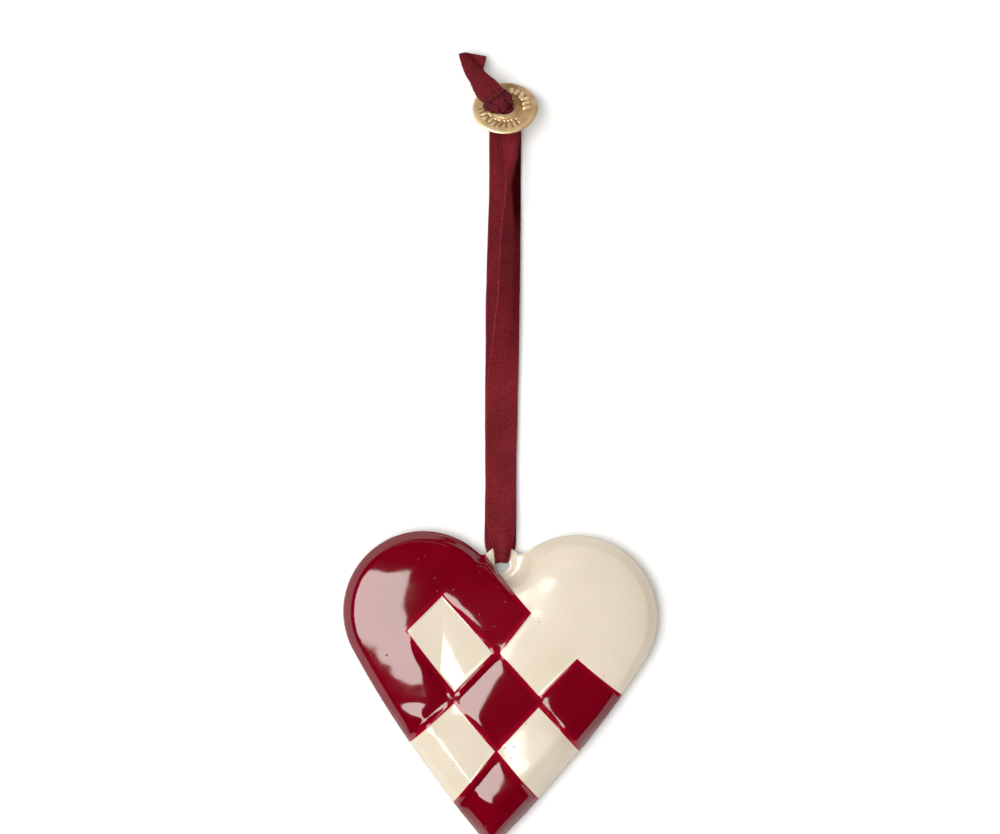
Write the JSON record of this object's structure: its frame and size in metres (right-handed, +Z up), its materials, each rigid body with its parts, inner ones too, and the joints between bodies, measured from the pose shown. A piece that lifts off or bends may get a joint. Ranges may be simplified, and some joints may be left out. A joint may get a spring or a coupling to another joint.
{
  "type": "metal heart ornament",
  "caption": "Enamelled metal heart in a red and cream woven heart check, on a narrow burgundy ribbon with a small brass disc and a knot, lying on its back.",
  "frame": {"origin": "on the surface that the heart lies on, under the middle of the heart's own bounding box; the ribbon, disc and knot are not counted", "axes": "+Z up, out of the heart's front; +Y from the heart's point towards its lobes and along the ribbon; +X to the right seen from the front"},
  "size_m": [0.0628, 0.1596, 0.0084],
  "materials": {
    "enamel": "glossy fired enamel, dark red with cream checks and lobe",
    "ribbon": "fine cross-ribbed woven ribbon, burgundy, slight sheen",
    "brass": "cast brass, satin, worn bright on the raised parts"
  },
  "bodies": {
    "root": {"heart": "enamel", "ribbon_front": "ribbon", "ribbon_back": "ribbon", "knot": "ribbon", "disc": "brass"}
  },
  "joints": []
}
